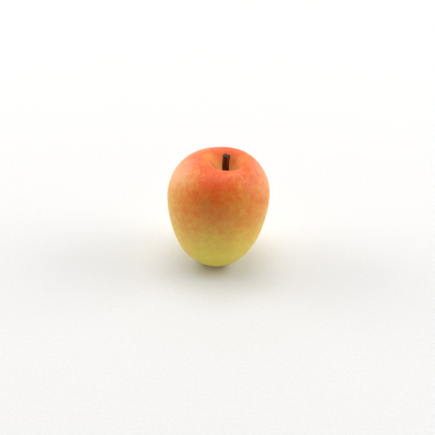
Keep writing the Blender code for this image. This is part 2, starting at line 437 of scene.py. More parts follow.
@dataclass(frozen=True)
class FruitForm:
    """The fruit's form: a turned shape, and how it grew out of true."""

    width: float = 0.0620
    height: float = 0.0707
    widest_height: float = 0.0474
    shoulder_power: float = 1.91
    flank_power: float = 1.90
    crown_radius: float = 0.0129
    foot_radius: float = 0.0097
    cavity_depth: float = 0.0125
    lip_radius: float = 0.0064
    cavity_floor_radius: float = 0.0028
    basin_depth: float = 0.0055
    basin_power: float = 2.0
    basin_floor_radius: float = 0.0032
    belly_shift: float = 0.0004
    crown_shift: float = 0.0024
    cavity_shift: float = 0.0062
    cavity_forward: float = 0.0006
    crown_fall: float = 0.047
    shift_starts: float = 0.0284
    shift_ends: float = 0.0095
    rib_count: int = 5
    rib_turn: float = math.radians(-18.0)
    rib_relief: float = 0.0002
    crown_relief: float = 0.0001
    knob_relief: float = 0.0009
    knob_breadth: float = 2.0
    knob_inner_spread: float = 0.0035
    knob_outer_spread: float = 0.0080
    foot_flat: float = 0.00015

    def quadrant(self, inner: float, rise: float, power: float, steps: int) -> list[tuple[float, float]]:
        """A quarter of a superellipse, from the fruit's widest point inwards.

        Args:
            inner: the radius where it ends level.
            rise: how far it climbs.
            power: how full it is.
            steps: how many steps it has.

        Returns:
            (radius, rise) points.
        """
        outer = self.width / 2
        points = []
        for step in range(steps + 1):
            angle = math.pi / 2 * step / steps
            across = max(0.0, math.cos(angle)) ** (2.0 / power)
            points.append((inner + (outer - inner) * across, rise * math.sin(angle) ** (2.0 / power)))
        return points

    def basin_wall(self, steps: int) -> list[tuple[float, float]]:
        """The basin's wall, which starts level at the foot and steepens inwards.

        Args:
            steps: how many steps it has.

        Returns:
            (radius, depth) points, without the foot's own.
        """
        points = []
        for step in range(1, steps + 1):
            share = step / steps
            radius = self.foot_radius + (self.basin_floor_radius - self.foot_radius) * share
            points.append((radius, self.basin_depth * share**self.basin_power))
        return points

    def cavity_wall(self, steps: int) -> list[tuple[float, float]]:
        """The cavity's wall, which rolls over from the crown to its lip and then falls at one slope.

        Args:
            steps: how many steps it has.

        Returns:
            (radius, depth) points, without the crown's own.
        """
        roll = self.crown_radius - self.lip_radius
        slope = self.cavity_depth / (roll / 2 + self.lip_radius - self.cavity_floor_radius)
        points = []
        for step in range(1, steps + 1):
            radius = self.crown_radius + (self.cavity_floor_radius - self.crown_radius) * step / steps
            over = min(1.0, (self.crown_radius - radius) / roll)
            fall = roll * (over**3 - over**4 / 2) + max(0.0, self.lip_radius - radius)
            points.append((radius, slope * fall))
        return points

    def profile(self, flank: int, shoulder: int, cavity: int, basin: int) -> list[tuple[float, float]]:
        """The turned fruit's outline, closed over the floors of its two hollows.

        Args:
            flank: steps from the foot to the widest height.
            shoulder: steps from there to the crown.
            cavity: steps down the stalk's cavity.
            basin: steps down the calyx's basin.

        Returns:
            (radius, height) points, from the basin's floor round to the cavity's.
        """
        lower = self.quadrant(self.foot_radius, self.widest_height, self.flank_power, flank)
        climb = self.height - self.widest_height
        upper = self.quadrant(self.crown_radius, climb, self.shoulder_power, shoulder)
        points = [(0.0, self.basin_depth)]
        points += reversed(self.basin_wall(basin))
        points += [(radius, self.widest_height - rise) for radius, rise in reversed(lower)]
        points += [(radius, self.widest_height + rise) for radius, rise in upper[1:]]
        points += [(radius, self.height - depth) for radius, depth in self.cavity_wall(cavity)]
        points.append((0.0, self.height - self.cavity_depth))
        return points

    def hollows(self, point: Vector) -> tuple[float, float]:
        """How deep a point of the turned fruit lies in its two hollows.

        Args:
            point: a point of the turned fruit.

        Returns:
            Its depth in the cavity and in the basin, from 0 at the mouth to 1 at the floor.
        """
        radius = math.hypot(point.x, point.y)
        if point.z > self.widest_height:
            inwards = (self.crown_radius - radius) / (self.crown_radius - self.cavity_floor_radius)
            return min(1.0, max(0.0, inwards)), 0.0
        inwards = (self.foot_radius - radius) / (self.foot_radius - self.basin_floor_radius)
        return 0.0, min(1.0, max(0.0, inwards))

    def as_grown(self, point: Vector) -> Vector:
        """Where a point of the turned fruit lies on the real one.

        Args:
            point: a point of the turned fruit.

        Returns:
            The point with the fruit's ribs, knobs and lean.
        """
        radius = math.hypot(point.x, point.y)
        angle = math.atan2(point.y, point.x)
        upper = point.z > self.widest_height
        inside = radius < (self.crown_radius if upper else self.foot_radius)
        rise = float(upper) if inside else point.z / self.height
        rib = math.cos(self.rib_count * (angle - self.rib_turn))
        grown_radius = radius
        if not inside:
            grown_radius += self.rib_relief * rib * math.sin(math.pi * rise)
        height = point.z
        to_cavity = 0.0
        if upper:
            climb = 1.0 if inside else (point.z - self.widest_height) / (self.height - self.widest_height)
            height -= self.crown_fall * point.x * climb**2
            height += self.crown_relief * rib * climb**2 * min(1.0, radius / self.crown_radius) ** 2
            to_cavity = smooth_step((self.shift_starts - radius) / (self.shift_starts - self.shift_ends))
        else:
            spread = self.knob_inner_spread if inside else self.knob_outer_spread
            weight = math.exp(-(((radius - self.foot_radius) / spread) ** 2))
            height += self.knob_relief * ((1.0 - rib) / 2.0) ** self.knob_breadth * weight
        shift = self.belly_shift * math.sin(math.pi * rise) + self.crown_shift * rise**2
        shift += (self.cavity_shift - self.crown_shift) * to_cavity
        forward = self.cavity_forward * to_cavity
        return Vector(
            (grown_radius * math.cos(angle) + shift, grown_radius * math.sin(angle) - forward, height)
        )


@dataclass(frozen=True)
class Eye:
    """Where the photograph was taken from: its frame is square, and its pixels count from the top left."""

    frame_px: float = 435.0
    focal_px: float = 600.0
    sensor_mm: float = 36.0
    elevation: float = math.radians(36.0)
    distance: float = 0.3722
    aim: Vector = field(default_factory=lambda: Vector((-0.00059, -0.00279, 0.03118)))
    clip: Reach = Reach(0.005, 20.0)

    @property
    def ahead(self) -> Vector:
        """The way that the camera looks."""
        return Vector((0.0, math.cos(self.elevation), -math.sin(self.elevation)))

    @property
    def place(self) -> Vector:
        """Where the camera is."""
        return self.aim - self.ahead * self.distance

    def ray(self, across_px: float, down_px: float) -> Vector:
        """The way that a pixel of the photograph looks.

        Args:
            across_px: the pixel's place across the frame.
            down_px: its place down the frame.

        Returns:
            A unit vector.
        """
        top = Vector((0.0, math.sin(self.elevation), math.cos(self.elevation)))
        right = Vector((1.0, 0.0, 0.0))
        middle = self.frame_px / 2
        away = self.ahead * self.focal_px + right * (across_px - middle) + top * (middle - down_px)
        return away.normalized()

    def build(self) -> bpy.types.Object:
        """Makes the scene's camera.

        Returns:
            The camera's object.
        """
        camera = bpy.data.cameras.new("photo_camera")
        camera.sensor_width = self.sensor_mm
        camera.lens = self.sensor_mm * self.focal_px / self.frame_px
        camera.clip_start, camera.clip_end = self.clip
        eye = linked("photo_camera", camera)
        eye.location = self.place
        eye.rotation_euler = (math.pi / 2 - self.elevation, 0.0, 0.0)
        bpy.context.scene.camera = eye
        return eye


class Patch(NamedTuple):
    """A soft-edged patch of skin: its place in the photograph, its radius and how strong it is."""

    across_px: float
    down_px: float
    radius: float
    strength: float


@dataclass(frozen=True)
class MarksAndPaintedHighlights:
    """Small marks on the skin, and painted highlights on its shoulders and edges, by their places in the
    photograph.
    """

    scar_px: tuple[tuple[float, float], ...] = ((256.0, 168.2), (256.6, 172.6), (259.4, 176.0))
    scar_half_width: float = 0.00048
    scar_spot_px: tuple[float, float] = (258.4, 175.6)
    scar_spot_radius: float = 0.0009
    scar_core: float = 0.3
    scar_ends: Reach = Reach(0.8, 1.1)
    scar_line_share: float = 0.85
    scar_spot_share: float = 0.7
    speck_px: tuple[tuple[float, float], ...] = ((215.9, 241.8), (239.8, 249.0), (196.5, 256.0))
    speck_radius: float = 0.00045
    speck_core: float = 0.4
    speck_share: float = 0.75
    flush_px: tuple[Patch, ...] = (
        Patch(238.0, 174.0, 0.0100, -0.12),
        Patch(195.0, 156.0, 0.0120, 0.14),
        Patch(210.0, 158.0, 0.0065, -0.17),
        Patch(211.0, 209.0, 0.0080, 0.07),
        Patch(243.0, 158.0, 0.0070, -0.14),
        Patch(189.0, 180.0, 0.0110, -0.20),
        Patch(214.0, 182.0, 0.0080, 0.12),
        Patch(203.0, 152.0, 0.0090, -0.12),
        Patch(229.0, 150.0, 0.0090, 0.12),
        Patch(245.0, 196.0, 0.0140, -0.13),
    )
    # Pale pink patches on the shoulders and edges: painted highlights.
    painted_highlight_px: tuple[Patch, ...] = (
        Patch(180.0, 171.0, 0.0150, 0.52),
        Patch(190.0, 158.0, 0.0110, 0.14),
        Patch(239.0, 173.0, 0.0080, 0.12),
        Patch(259.0, 169.0, 0.0100, 0.34),
        Patch(264.0, 186.0, 0.0100, 0.20),
    )
    bruise_px: Patch = Patch(205.0, 205.0, 0.0050, 0.18)


@dataclass(frozen=True)
class SkinMap:
    """The fruit's surface as the photograph sees it."""

    skin: BVHTree
    eye: Eye

    def found(self, across_px: float, down_px: float) -> Vector:
        """Where on the skin a pixel of the photograph lies."""
        return self.skin.ray_cast(self.eye.place, self.eye.ray(across_px, down_px))[0]


@dataclass(frozen=True)
class SkinFinish:
    """Waxy apple skin: a yellow ground under an orange-red flush that breaks up into fine flecks."""

    foot_ground: Colour = (0.81, 0.67, 0.078)
    flank_ground: Colour = (0.80, 0.62, 0.086)
    flush: Colour = (0.86, 0.156, 0.012)
    deep_flush: Colour = (0.79, 0.098, 0.002)
    crown_flush: Colour = (1.0, 0.170, 0.036)
    cavity_wall: Colour = (1.0, 0.29, 0.072)
    cavity_floor: Colour = (1.0, 0.52, 0.12)
    russet: Colour = (0.34, 0.19, 0.07)
    scar: Colour = (0.70, 0.075, 0.020)
    # The pale pink of the painted highlights.
    painted_highlight: Colour = (0.96, 0.43, 0.34)
    bruise: Colour = (0.34, 0.26, 0.05)
    speck: Colour = (0.30, 0.17, 0.06)
    lenticel: Colour = (0.95, 0.74, 0.42)
    ground_reach: Reach = Reach(0.010, 0.040)
    flush_reach: Reach = Reach(0.016, 0.072)
    flush_wander: float = 0.010
    deep_reach: Reach = Reach(0.72, 1.4)
    crown_reach: Reach = Reach(0.060, 0.070)
    pale_side: float = math.radians(172.0)
    pale_reach: Reach = Reach(0.40, 1.05)
    pale_share: float = 0.65
    pale_fade: Reach = Reach(0.062, 0.074)
    right_side: float = math.radians(15.0)
    right_reach: Reach = Reach(0.45, 1.0)
    right_share: float = 0.24
    side_glow: float = 0.17
    side_reach: Reach = Reach(0.008, 0.022)
    patches: Grain = Grain(0.015)
    blotches: Grain = Grain(0.0038, 2.0, 0.55, 0.4)
    blotch_gain: float = 0.42
    flecks: Grain = Grain(0.0011, 3.0, 0.6, 0.3)
    fleck_squash: float = 0.75
    fleck_gain: float = 0.56
    fleck_reach: Reach = Reach(0.7, 1.3)
    fleck_shade: float = 0.94
    streaks: Grain = Grain(0.0011, 2.0, 0.6)
    streak_girth: float = 0.018
    streak_stretch: float = 9.0
    streak_gain: float = 0.10
    dapples: Grain = Grain(0.0018, 3.0, 0.6, 0.8)
    dapple_reach: Reach = Reach(0.3, 0.7)
    dapple_shade: float = 0.93
    ground_gain: float = 0.55
    flank_gain: float = 1.15
    crown_gain: float = 0.70
    flank_reach: Reach = Reach(0.0, 0.4)
    full_reach: Reach = Reach(0.65, 1.0)
    wall_reach: Reach = Reach(0.15, 0.55)
    wall_share: float = 0.85
    floor_reach: Reach = Reach(0.46, 0.78)
    floor_share: float = 0.9
    floor_slant: float = 9.0
    russet_reach: Reach = Reach(1.15, 1.35)
    russet_wander: float = 0.5
    lenticels: Dots = Dots(0.0042, Reach(0.05, 0.085), Reach(0.3, 0.5), 0.18)
    freckles: Dots = Dots(0.0075, Reach(0.022, 0.04), Reach(0.55, 0.7), 0.45)
    pores: Grain = Grain(0.00045)
    pore_depth: float = 0.000012
    dimples: Grain = Grain(0.0022)
    dimple_depth: float = 0.00005
    relief_strength: float = 0.5
    roughness: float = 0.45
    cavity_roughness: float = 0.75
    cavity_dulls: Reach = Reach(0.0, 0.6)
    gloss_wander: float = 0.20

    def flush_share(self, sheet: Sheet) -> Socket:
        """How strong the flush is: it grows with height, pales on two sides and warms towards the flanks.

        Args:
            sheet: the skin's nodes.

        Returns:
            A socket from 0 to 1.
        """
        across, _, height = sheet.split(sheet.place)
        uneven = sheet.sway(sheet.grain(sheet.place, self.patches), self.flush_wander, height)
        climb = sheet.rise(uneven, *self.flush_reach)
        pale = sheet.rise(sheet.facing(self.pale_side), *self.pale_reach, 0.0, self.pale_share)
        right = sheet.rise(sheet.facing(self.right_side), *self.right_reach, 0.0, self.right_share)
        below = sheet.rise(height, *self.pale_fade, 1.0, 0.0)
        paler = sheet.sum("MULTIPLY", sheet.sum("MAXIMUM", pale, right), below)
        share = sheet.sum("MULTIPLY", climb, sheet.sum("SUBTRACT", 1.0, paler))
        glow = sheet.rise(sheet.sum("ABSOLUTE", across), *self.side_reach, 0.0, self.side_glow)
        return sheet.sum("MULTIPLY_ADD", sheet.sum("SUBTRACT", 1.0, share), glow, share)

    def mottled(self, sheet: Sheet, flecks: Socket, blotches: Socket) -> Socket:
        """The flush broken up, most on the flanks and least on the bare ground.

        Args:
            sheet: the skin's nodes.
            flecks: the fine pattern.
            blotches: the coarse one.

        Returns:
            A socket that is about 0 on bare ground, about 1 in full flush and more where it is deepest.
        """
        flush = self.flush_share(sheet)
        uneven = sheet.sway(blotches, self.blotch_gain, sheet.sway(flecks, self.fleck_gain))
        streaks = sheet.grain(sheet.streaked(self.streak_girth, self.streak_stretch), self.streaks)
        uneven = sheet.sway(streaks, self.streak_gain, uneven)
        gain = sheet.rise(flush, *self.flank_reach, self.ground_gain, self.flank_gain)
        calmer = sheet.rise(flush, *self.full_reach, 0.0, self.flank_gain - self.crown_gain)
        return sheet.sum("MULTIPLY_ADD", uneven, sheet.sum("SUBTRACT", gain, calmer), flush)

    def flushed(self, sheet: Sheet, share: Socket, flecks: Socket, blotches: Socket) -> Socket:
        """The ground and the flush over it, dappled with fine shade.

        Args:
            sheet: the skin's nodes.
            share: how strong the flush is.
            flecks: the fine pattern.
            blotches: the coarse one.

        Returns:
            The colour's socket.
        """
        height = sheet.split(sheet.place)[2]
        ground = sheet.blend(sheet.rise(height, *self.ground_reach), self.foot_ground, self.flank_ground)
        reds = sheet.blend(sheet.rise(height, *self.crown_reach), self.flush, self.crown_flush)
        reds = sheet.blend(sheet.rise(share, *self.deep_reach), reds, self.deep_flush)
        shade = sheet.rise(sheet.sum("ADD", flecks, blotches), *self.fleck_reach, 1.0, self.fleck_shade)
        dapples = sheet.grain(sheet.place, self.dapples)
        dappled = sheet.rise(dapples, *self.dapple_reach, self.dapple_shade, 1.0)
        shade = sheet.grey(sheet.sum("MULTIPLY", shade, dappled))
        return sheet.blend(1.0, sheet.blend(share, ground, reds), shade, "MULTIPLY")

    def hollowed(self, sheet: Sheet, colour: Socket, cavity: Socket, blotches: Socket) -> Socket:
        """The skin's colour with the cavity's wall and floor, and russet deep in both hollows.

        Args:
            sheet: the skin's nodes.
            colour: the skin's colour outside the hollows.
            cavity: how deep a place is in the cavity.
            blotches: the unevenness of the russet's edge.

        Returns:
            The colour's socket.
        """
        across = sheet.split(sheet.place)[0]
        wall = sheet.rise(cavity, *self.wall_reach, 0.0, self.wall_share)
        colour = sheet.blend(wall, colour, self.cavity_wall)
        slanted = sheet.sum("MULTIPLY_ADD", across, -self.floor_slant, cavity)
        floor = sheet.rise(slanted, *self.floor_reach, 0.0, self.floor_share)
        colour = sheet.blend(floor, colour, self.cavity_floor)
        deepest = sheet.sum("MAXIMUM", cavity, sheet.attribute(SkinMark.BASIN.value))
        ragged = sheet.sum("MULTIPLY_ADD", blotches, self.russet_wander, deepest)
        return sheet.blend(sheet.rise(ragged, *self.russet_reach), colour, self.russet)

    def marked(self, sheet: Sheet, colour: Socket, marks_and_painted_highlights: MarksAndPaintedHighlights, photo: SkinMap) -> Socket:
        """The skin's colour with its lenticels, freckles and specks.

        Args:
            sheet: the skin's nodes.
            colour: the skin's colour under them.
            marks_and_painted_highlights: the marks on the skin.
            photo: where the photograph's pixels lie on it.

        Returns:
            The colour's socket.
        """
        colour = sheet.blend(sheet.dots(self.lenticels), colour, self.lenticel)
        colour = sheet.blend(sheet.dots(self.freckles), colour, self.speck)
        radius = marks_and_painted_highlights.speck_radius
        for pixel in marks_and_painted_highlights.speck_px:
            reach = sheet.distance(photo.found(*pixel))
            spot = sheet.rise(reach, radius * marks_and_painted_highlights.speck_core, radius, marks_and_painted_highlights.speck_share, 0.0)
            colour = sheet.blend(spot, colour, self.speck)
        return colour

    def patch_share(self, sheet: Sheet, photo: SkinMap, patch: Patch, blotches: Socket) -> Socket:
        """How strong a soft, ragged patch is at each place.

        Args:
            sheet: the skin's nodes.
            photo: where the photograph's pixels lie on the skin.
            patch: the patch.
            blotches: the unevenness of its edge.

        Returns:
            A socket from 0 to the patch's strength.
        """
        reach = sheet.distance(photo.found(patch.across_px, patch.down_px))
        ragged = sheet.sway(blotches, patch.radius, reach)
        return sheet.rise(ragged, 0.0, patch.radius, patch.strength, 0.0)

    def scar_share(self, sheet: Sheet, marks_and_painted_highlights: MarksAndPaintedHighlights, photo: SkinMap) -> Socket:
        """How much of the surface is scar: a thin crescent with a darker spot at its lower end.

        Args:
            sheet: the skin's nodes.
            marks_and_painted_highlights: the marks on the skin.
            photo: where the photograph's pixels lie on it.

        Returns:
            A socket from 0 to 1.
        """
        first, middle, last = (photo.found(*pixel) for pixel in marks_and_painted_highlights.scar_px)
        centre = circle_centre(first, middle, last)
        bend = (middle - centre).length
        off_line = sheet.sum("ABSOLUTE", sheet.sum("SUBTRACT", sheet.distance(centre), bend))
        half_width = marks_and_painted_highlights.scar_half_width
        core = marks_and_painted_highlights.scar_core
        line = sheet.rise(off_line, half_width * core, half_width, marks_and_painted_highlights.scar_line_share, 0.0)
        half_length = (last - first).length / 2
        ends = (half_length * end for end in marks_and_painted_highlights.scar_ends)
        within = sheet.rise(sheet.distance((first + last) / 2), *ends, 1.0, 0.0)
        spot_reach = sheet.distance(photo.found(*marks_and_painted_highlights.scar_spot_px))
        radius = marks_and_painted_highlights.scar_spot_radius
        spot = sheet.rise(spot_reach, radius * core, radius, marks_and_painted_highlights.scar_spot_share, 0.0)
        return sheet.sum("MAXIMUM", sheet.sum("MULTIPLY", line, within), spot)

    def material(self, marks_and_painted_highlights: MarksAndPaintedHighlights, photo: SkinMap) -> bpy.types.Material:
        """Builds the skin's material, with its painted highlights.

        Args:
            marks_and_painted_highlights: the marks on the skin.
            photo: where the photograph's pixels lie on it.

        Returns:
            The material.
        """
        sheet = Sheet("apple_skin")
        blotches = sheet.grain(sheet.place, self.blotches)
        flecks = sheet.grain(sheet.scaled((1.0, 1.0, self.fleck_squash)), self.flecks)
        share = self.mottled(sheet, flecks, blotches)
        for patch in marks_and_painted_highlights.flush_px:
            share = sheet.sum("ADD", share, self.patch_share(sheet, photo, patch, blotches))
        colour = self.flushed(sheet, share, flecks, blotches)
        # Painted highlights: pale pink patches on the shoulders and edges.
        for patch in marks_and_painted_highlights.painted_highlight_px:
            colour = sheet.blend(self.patch_share(sheet, photo, patch, blotches), colour, self.painted_highlight)

        cavity = sheet.attribute(SkinMark.CAVITY.value)
        colour = self.hollowed(sheet, colour, cavity, blotches)
        colour = self.marked(sheet, colour, marks_and_painted_highlights, photo)
        bruised = self.patch_share(sheet, photo, marks_and_painted_highlights.bruise_px, blotches)
        colour = sheet.blend(bruised, colour, self.bruise)
        colour = sheet.blend(self.scar_share(sheet, marks_and_painted_highlights, photo), colour, self.scar)

        dimples = sheet.grain(sheet.place, self.dimples)
        soft = sheet.relief(dimples, self.dimple_depth, self.relief_strength)
        pores = sheet.grain(sheet.place, self.pores)
        dulled = sheet.rise(cavity, *self.cavity_dulls, self.roughness, self.cavity_roughness)
        sheet.surface(
            Base_Color=colour,
            Roughness=sheet.sway(flecks, self.gloss_wander, dulled),
            Normal=sheet.relief(pores, self.pore_depth, self.relief_strength, soft),
            IOR=1.38,
            Sheen_Weight=0.06,
            Sheen_Roughness=0.5,
            Subsurface_Weight=0.50,
            Subsurface_Radius=(1.0, 0.36, 0.14),
            Subsurface_Scale=0.0060,
        )
        return sheet.material


def circle_centre(first: Vector, middle: Vector, last: Vector) -> Vector:
    """The centre of the circle through three points.

    Args:
        first: a point of the circle.
        middle: another.
        last: the third.

    Returns:
        The circle's centre.
    """
    one = middle - first
    two = last - first
    normal = one.cross(two)
    towards = normal.cross(one) * two.length_squared + two.cross(normal) * one.length_squared
    return first + towards / (2.0 * normal.length_squared)


@dataclass
class Fruit:
    """The fruit: one closed surface from the floor of its basin to the floor of its cavity."""

    form: FruitForm = field(default_factory=FruitForm)
    finish: SkinFinish = field(default_factory=SkinFinish)
    marks_and_painted_highlights: MarksAndPaintedHighlights = field(default_factory=MarksAndPaintedHighlights)
    sides: int = 288
    flank_steps: int = 62
    shoulder_steps: int = 44
    cavity_steps: int = 36
    basin_steps: int = 22
    swell_size: float = 0.017
    swell_depth: float = 0.00014
    swell_layers: int = 2
    swell_fineness: float = 2.2
    creases: Furrows = Furrows(3.2, 120.0, 3.7, 0.00022)
    crease_onset: float = 1.6
    pleats: Furrows = Furrows(2.6, 90.0, 8.1, 0.00040)
    pleat_onset: float = 1.8

    def offset(self, shape: bmesh.types.BMesh) -> Vector:
        """How far the grown fruit is moved to stand over the origin, on Z = 0.

        Args:
            shape: the grown fruit.

        Returns:
            The move.
        """
        across = [vert.co.x for vert in shape.verts]
        along = [vert.co.y for vert in shape.verts]
        return Vector(
            (-(min(across) + max(across)) / 2, -(min(along) + max(along)) / 2, -self.form.foot_flat)
        )

    def build(self) -> tuple[bpy.types.Object, Vector]:
        """Models the fruit.

        Returns:
            The fruit's object, and how far the turned form's axis is from the origin.
        """
        form = self.form
        shape = turned(
            form.profile(self.flank_steps, self.shoulder_steps, self.cavity_steps, self.basin_steps),
            self.sides,
        )
        marks = {mark: shape.verts.layers.float.new(mark.value) for mark in SkinMark}
        relief = []
        for vert in shape.verts:
            angle = math.atan2(vert.co.y, vert.co.x)
            cavity, basin = form.hollows(vert.co)
            vert[marks[SkinMark.CAVITY]] = cavity
            vert[marks[SkinMark.BASIN]] = basin
            depth = self.creases.at(angle, vert.co.z) * smooth_step(cavity * self.crease_onset)
            depth += self.pleats.at(angle, vert.co.z) * smooth_step(basin * self.pleat_onset)
            vert.co = form.as_grown(vert.co)
            swell = noise.fractal(vert.co / self.swell_size, 1.0, self.swell_fineness, self.swell_layers)
            relief.append(depth + self.swell_depth * swell * (1.0 - max(cavity, basin)))
        move = self.offset(shape)
        shape.normal_update()
        outwards = [vert.normal.copy() for vert in shape.verts]
        for vert, normal, depth in zip(shape.verts, outwards, relief):
            vert.co += normal * depth
            vert.co.z = max(vert.co.z, form.foot_flat)
            vert.co += move
        return new_piece("fruit_skin", shape, ("fruit",)), move

    def dress(self, piece: bpy.types.Object, eye: Eye) -> None:
        """Gives the fruit its skin.

        Args:
            piece: the fruit's object.
            eye: where the photograph was taken from.
        """
        shape = bmesh.new()
        shape.from_mesh(piece.data)
        photo = SkinMap(BVHTree.FromBMesh(shape), eye)
        shape.free()
        piece.data.materials.append(self.finish.material(self.marks_and_painted_highlights, photo))


@dataclass(frozen=True)
class BarkFinish:
    """Dark, ridged bark, and the grey wood of the broken end."""

    dark: Colour = (0.045, 0.017, 0.009)
    warm: Colour = (0.120, 0.035, 0.014)
    pale: Colour = (0.16, 0.075, 0.040)
    wood: Colour = (0.150, 0.068, 0.034)
    pith: Colour = (0.035, 0.018, 0.012)
    roughness: float = 0.66
    wood_roughness: float = 0.95
    fibres: Grain = Grain(0.00045, 3.0, 0.6)
    fibre_squash: float = 0.16
    fibre_reach: Reach = Reach(0.56, 0.74)
    fibre_share: float = 0.55
    patches: Grain = Grain(0.0022)
    patch_reach: Reach = Reach(0.35, 0.68)
    warts: Dots = Dots(0.0013, Reach(0.1, 0.2), Reach(0.5, 0.7), 0.6)
    splinters: Grain = Grain(0.00035, 3.0, 0.7)
    splinter_reach: Reach = Reach(0.35, 0.6)
    broken_reach: Reach = Reach(0.35, 0.75)
    dull_reach: Reach = Reach(0.2, 0.7)
    ridge_depth: float = 0.00010
    ridge_strength: float = 0.9
    splinter_depth: float = 0.00006
    splinter_strength: float = 0.7

    def material(self) -> bpy.types.Material:
        """Builds the bark's material.

        Returns:
            The material.
        """
        sheet = Sheet("stalk_bark")
        fibres = sheet.grain(sheet.scaled((1.0, 1.0, self.fibre_squash)), self.fibres)
        patches = sheet.grain(sheet.place, self.patches)
        colour = sheet.blend(sheet.rise(patches, *self.patch_reach), self.dark, self.warm)
        colour = sheet.blend(sheet.rise(fibres, *self.fibre_reach, 0.0, self.fibre_share), colour, self.pale)
        colour = sheet.blend(sheet.dots(self.warts), colour, self.pale)
        broken = sheet.attribute(StalkMark.BROKEN.value)
        splinters = sheet.grain(sheet.place, self.splinters)
        wood = sheet.blend(sheet.rise(splinters, *self.splinter_reach), self.pith, self.wood)
        ridges = sheet.relief(fibres, self.ridge_depth, self.ridge_strength)
        sheet.surface(
            Base_Color=sheet.blend(sheet.rise(broken, *self.broken_reach), colour, wood),
            Roughness=sheet.rise(broken, *self.dull_reach, self.roughness, self.wood_roughness),
            Normal=sheet.relief(splinters, self.splinter_depth, self.splinter_strength, ridges),
            IOR=1.40,
            Specular_IOR_Level=0.2,
        )
        return sheet.material


@dataclass
class Stalk:
    """The stalk: a ridged, bowed stick, flared at its foot and clubbed at its broken end."""

    form: FruitForm = field(default_factory=FruitForm)
    finish: BarkFinish = field(default_factory=BarkFinish)
    radius: float = 0.0020
    foot_radius: float = 0.0025
    flare_share: float = 0.35
    head_radius: float = 0.0023
    head_length: float = 0.0022
    head_section: tuple[tuple[float, float], ...] = (
        (0.90, 0.12),
        (0.98, 0.32),
        (1.0, 0.55),
        (0.97, 0.80),
        (0.88, 0.95),
        (0.78, 1.0),
        (0.62, 1.0),
        (0.45, 1.0),
        (0.28, 1.0),
        (0.12, 1.0),
        (0.0, 1.0),
    )
    above_crown: float = 0.0037
    sunk: float = 0.0017
    bow: tuple[float, float] = (-0.0007, 0.0004)
    break_share: float = 0.93
    break_rise: float = 0.0003
    notch_depth: float = 0.0008
    notch_place: float = 0.35
    notch_width: float = 0.2
    rim: Reach = Reach(1.02, 0.72)
    ridges: Furrows = Furrows(1.7, 1.4, 1.3, 0.00013)
    wrinkles: Furrows = Furrows(1.1, 26.0, 5.9, 0.00007)
    worn_size: float = 0.0009
    worn_seed: float = 4.0
    worn_depth: float = 0.00012
    sides: int = 64
    steps: int = 60

    def profile(self, length: float) -> list[tuple[float, float]]:
        """The stalk's outline.

        Args:
            length: the stalk's length.

        Returns:
            (radius, height) points, from the middle of its foot to the middle of its broken end.
        """
        shaft = length - self.head_length
        points = [(0.0, 0.0)]
        for step in range(self.steps + 1):
            share = step / self.steps
            flare = 1.0 - smooth_step(share / self.flare_share)
            points.append((self.radius + (self.foot_radius - self.radius) * flare, shaft * share))
        for across, along in self.head_section:
            points.append((self.head_radius * across, shaft + self.head_length * along))
        return points

    def build(self, move: Vector) -> bpy.types.Object:
        """Models the stalk.

        Args:
            move: how far the turned fruit's axis is from the origin.

        Returns:
            The stalk's object.
        """
        foot = self.form.height - self.form.cavity_depth - self.sunk
        length = self.form.height + self.above_crown - foot
        shape = turned(self.profile(length), self.sides)
        mark = shape.verts.layers.float.new(StalkMark.BROKEN.value)
        for vert in shape.verts:
            share = vert.co.z / length
            angle = math.atan2(vert.co.y, vert.co.x)
            edge = math.hypot(vert.co.x, vert.co.y) / self.head_radius
            across = vert.co.x / self.head_radius
            broken = smooth_step((share - self.break_share) / (1.0 - self.break_share))
            vert[mark] = broken * smooth_step((self.rim.start - edge) / (self.rim.start - self.rim.full))
            worn = noise.noise(vert.co / self.worn_size + UP * self.worn_seed)
            notch = math.exp(-(((across - self.notch_place) / self.notch_width) ** 2))
            drop = self.break_rise * across + self.notch_depth * notch + self.worn_depth * worn
            relief = self.ridges.at(angle, share) + self.wrinkles.at(angle, share)
            vert.co += way(angle) * min(1.0, edge) * relief
            vert.co.z -= broken * drop
            arch = math.sin(math.pi * share)
            vert.co.x += self.form.cavity_shift + self.bow[0] * arch
            vert.co.y += self.bow[1] * arch - self.form.cavity_forward
            vert.co.z += foot
            vert.co += move
        return new_piece("stalk_wood", shape, ("stalk",))

    def dress(self, piece: bpy.types.Object) -> None:
        """Gives the stalk its bark."""
        piece.data.materials.append(self.finish.material())


@dataclass(frozen=True)
class DryFinish:
    """Dried leaf: dull brown with a grey down and fine veins."""

    name: str = "dry_sepal"
    dark: Colour = (0.055, 0.028, 0.014)
    warm: Colour = (0.16, 0.088, 0.042)
    down: Colour = (0.30, 0.24, 0.16)
    roughness: Reach = Reach(0.77, 0.93)
    dull_reach: Reach = Reach(0.3, 0.7)
    patches: Grain = Grain(0.0011, 3.0, 0.6)
    patch_reach: Reach = Reach(0.35, 0.65)
    veins: Grain = Grain(0.0003, 2.0, 0.6)
    vein_squash: float = 0.3
    vein_reach: Reach = Reach(0.5, 0.8)
    vein_share: float = 0.5
    vein_depth: float = 0.00008
    vein_strength: float = 0.8

    def material(self) -> bpy.types.Material:
        """Builds the dried leaf's material.

        Returns:
            The material.
        """
        sheet = Sheet(self.name)
        patches = sheet.grain(sheet.place, self.patches)
        veins = sheet.grain(sheet.scaled((1.0, 1.0, self.vein_squash)), self.veins)
        colour = sheet.blend(sheet.rise(patches, *self.patch_reach), self.dark, self.warm)
        veined = sheet.rise(veins, *self.vein_reach, 0.0, self.vein_share)
        sheet.surface(
            Base_Color=sheet.blend(veined, colour, self.down),
            Roughness=sheet.rise(patches, *self.dull_reach, *self.roughness),
            Normal=sheet.relief(veins, self.vein_depth, self.vein_strength),
            Sheen_Weight=0.3,
            Sheen_Roughness=0.5,
        )
        return sheet.material


